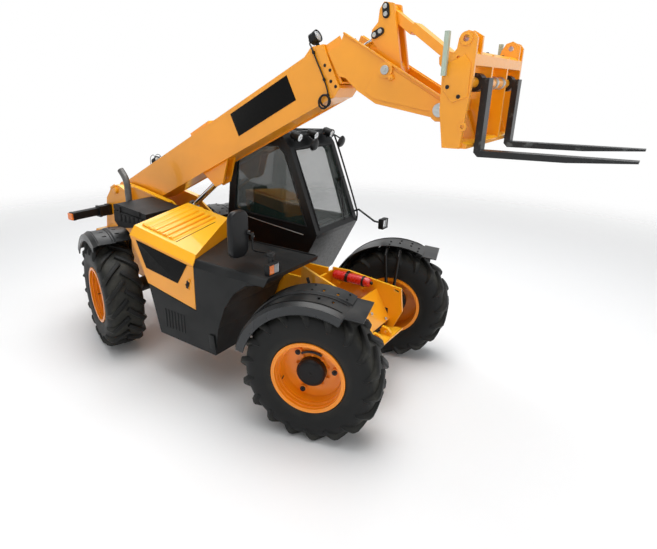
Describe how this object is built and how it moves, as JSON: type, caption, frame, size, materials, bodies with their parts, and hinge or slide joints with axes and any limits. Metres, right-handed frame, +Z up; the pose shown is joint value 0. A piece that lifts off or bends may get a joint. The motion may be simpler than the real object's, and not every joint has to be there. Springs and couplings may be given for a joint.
{
  "type": "telehandler",
  "caption": "Four-wheel-steer telescopic handler with side cab, engine pod, two-stage boom and fork carriage",
  "frame": {"origin": "centre of the machine's footprint box on the ground", "axes": "+X forwards along the boom, +Y to the machine's left, +Z up"},
  "size_m": [5.8, 2.5803, 3.5654],
  "materials": {
    "tyre": "matt tread rubber",
    "wheel_paint": "gloss",
    "black_plastic": "moulded",
    "black_steel": "satin",
    "chrome": "polished",
    "tinted_glass": "tinted",
    "seat_cloth": "woven",
    "fork_steel": "satin",
    "red_paint": "gloss",
    "cab_black": "satin",
    "machine_paint": "gloss",
    "clear_lens": "clear",
    "amber_lens": "clear",
    "zinc_plate": "satin"
  },
  "bodies": {
    "chassis": {"front_axle": "black_steel", "rear_axle": "black_steel", "chassis_side_right": "machine_paint", "chassis_side_left": "machine_paint", "chassis_cross": "machine_paint", "gas_bottle": "red_paint", "engine_block": "black_steel", "pod_cowl": "black_plastic", "air_box": "black_plastic", "cab_frame": "cab_black", "cab_glass": "tinted_glass", "seat": "seat_cloth", "seat_base": "black_plastic", "dash_column": "black_plastic", "side_tank": "black_plastic", "lamps": "black_plastic", "lens_clear": "clear_lens", "lens_amber": "amber_lens", "mirrors": "black_plastic"},
    "outer_boom": {"outer_boom": "machine_paint", "boom_lamps": "black_plastic"},
    "inner_boom": {"inner_boom": "machine_paint"},
    "tilt_lever": {"tilt_lever": "machine_paint"},
    "tilt_link": {"tilt_link": "machine_paint"},
    "tilt_barrel": {"tilt_cylinder": "black_steel"},
    "tilt_ram": {"tilt_rod": "chrome"},
    "carriage": {"carriage": "machine_paint", "carriage_bars": "zinc_plate"},
    "fork_right": {"fork_right": "fork_steel"},
    "fork_left": {"fork_left": "fork_steel"},
    "lift_barrel": {"lift_cylinder": "black_steel"},
    "lift_ram": {"lift_rod": "chrome"},
    "door": {"door_frame": "cab_black", "door_glass": "tinted_glass"},
    "bonnet": {"bonnet": "machine_paint"},
    "knuckle_front_right": {"knuckle_front_right": "black_steel", "guard_front_right": "black_plastic"},
    "wheel_front_right": {"rim_front_right": "wheel_paint", "tyre_front_right": "tyre", "hub_front_right": "black_steel"},
    "knuckle_front_left": {"knuckle_front_left": "black_steel", "guard_front_left": "black_plastic"},
    "wheel_front_left": {"rim_front_left": "wheel_paint", "tyre_front_left": "tyre", "hub_front_left": "black_steel"},
    "knuckle_rear_right": {"knuckle_rear_right": "black_steel", "guard_rear_right": "black_plastic"},
    "wheel_rear_right": {"rim_rear_right": "wheel_paint", "tyre_rear_right": "tyre", "hub_rear_right": "black_steel"},
    "knuckle_rear_left": {"knuckle_rear_left": "black_steel", "guard_rear_left": "black_plastic"},
    "wheel_rear_left": {"rim_rear_left": "wheel_paint", "tyre_rear_left": "tyre", "hub_rear_left": "black_steel"}
  },
  "joints": [
    {"name": "boom_lift", "type": "hinge", "parent": "chassis", "child": "outer_boom", "pos_m": [-2.53, 0, 1.68], "axis": [0, -1, 0], "range_deg": [-31.5, 43]},
    {"name": "boom_extend", "type": "slide", "parent": "outer_boom", "child": "inner_boom", "axis": [0.891, 0, 0.454], "range_m": [0, 2.1]},
    {"name": "carriage_tilt", "type": "hinge", "parent": "inner_boom", "child": "carriage", "pos_m": [1.574, 0, 2.76661], "axis": [0, 1, 0], "range_deg": [-36, 76]},
    {"name": "lever_swing", "type": "hinge", "parent": "inner_boom", "child": "tilt_lever", "pos_m": [1.08028, 0, 3.05937], "axis": [0, 1, 0], "range_deg": [-28.44, 60.04]},
    {"name": "link_swing", "type": "hinge", "parent": "tilt_lever", "child": "tilt_link", "pos_m": [1.00938, 0, 3.50248], "axis": [0, 1, 0], "range_deg": [-50.92, 24.12]},
    {"name": "tilt_barrel_swing", "type": "hinge", "parent": "inner_boom", "child": "tilt_barrel", "pos_m": [-0.05618, 0, 2.77212], "axis": [0, 1, 0], "range_deg": [-2.16, 4.56]},
    {"name": "tilt_ram_slide", "type": "slide", "parent": "tilt_barrel", "child": "tilt_ram", "axis": [0.8705, 0, 0.4922], "range_m": [-0.13609, 0.28619]},
    {"name": "lift_barrel_swing", "type": "hinge", "parent": "chassis", "child": "lift_barrel", "pos_m": [-2.29, -0.05, 0.87], "axis": [0, -1, 0], "range_deg": [-25.2, 34.4]},
    {"name": "lift_ram_slide", "type": "slide", "parent": "lift_barrel", "child": "lift_ram", "axis": [0.7852, 0, 0.6193], "range_m": [-0.44082, 0.60139]},
    {"name": "fork_right_slide", "type": "slide", "parent": "carriage", "child": "fork_right", "axis": [0, 1, 0], "range_m": [-0.13, 0.13]},
    {"name": "fork_left_slide", "type": "slide", "parent": "carriage", "child": "fork_left", "axis": [0, 1, 0], "range_m": [-0.13, 0.13]},
    {"name": "steer_front_right", "type": "hinge", "parent": "chassis", "child": "knuckle_front_right", "pos_m": [0.88, -0.705, 0.628], "axis": [0, 0, 1], "range_deg": [-46, 14]},
    {"name": "spin_front_right", "type": "hinge", "parent": "knuckle_front_right", "child": "wheel_front_right", "pos_m": [0.93513, -0.89725, 0.628], "axis": [-0.2756, 0.9613, 0], "continuous": true},
    {"name": "steer_front_left", "type": "hinge", "parent": "chassis", "child": "knuckle_front_left", "pos_m": [0.88, 0.705, 0.628], "axis": [0, 0, 1], "range_deg": [-46, 14]},
    {"name": "spin_front_left", "type": "hinge", "parent": "knuckle_front_left", "child": "wheel_front_left", "pos_m": [0.82487, 0.89725, 0.628], "axis": [-0.2756, 0.9613, 0], "continuous": true},
    {"name": "steer_rear_right", "type": "hinge", "parent": "chassis", "child": "knuckle_rear_right", "pos_m": [-1.87, -0.705, 0.628], "axis": [0, 0, 1], "range_deg": [-10, 50]},
    {"name": "spin_rear_right", "type": "hinge", "parent": "knuckle_rear_right", "child": "wheel_rear_right", "pos_m": [-1.9384, -0.89294, 0.628], "axis": [0.342, 0.9397, 0], "continuous": true},
    {"name": "steer_rear_left", "type": "hinge", "parent": "chassis", "child": "knuckle_rear_left", "pos_m": [-1.87, 0.705, 0.628], "axis": [0, 0, 1], "range_deg": [-10, 50]},
    {"name": "spin_rear_left", "type": "hinge", "parent": "knuckle_rear_left", "child": "wheel_rear_left", "pos_m": [-1.8016, 0.89294, 0.628], "axis": [0.342, 0.9397, 0], "continuous": true},
    {"name": "door_swing", "type": "hinge", "parent": "chassis", "child": "door", "pos_m": [-0.904, 1.116, 1.6], "axis": [0, 0, 1], "range_deg": [0, 80]},
    {"name": "bonnet_lift", "type": "hinge", "parent": "chassis", "child": "bonnet", "pos_m": [-1.17, -0.25, 1.652], "axis": [-1, 0, 0], "range_deg": [0, 55]}
  ],
  "couplings": [
    {"joint": "lever_swing", "follows": "carriage_tilt", "ratio": 0.79},
    {"joint": "link_swing", "follows": "carriage_tilt", "ratio": -0.67},
    {"joint": "tilt_barrel_swing", "follows": "carriage_tilt", "ratio": 0.06},
    {"joint": "tilt_ram_slide", "follows": "carriage_tilt", "m_per_rad": 0.215},
    {"joint": "lift_barrel_swing", "follows": "boom_lift", "ratio": 0.8},
    {"joint": "lift_ram_slide", "follows": "boom_lift", "m_per_rad": 0.8},
    {"joint": "steer_front_left", "follows": "steer_front_right", "ratio": 1},
    {"joint": "steer_rear_left", "follows": "steer_rear_right", "ratio": 1}
  ]
}
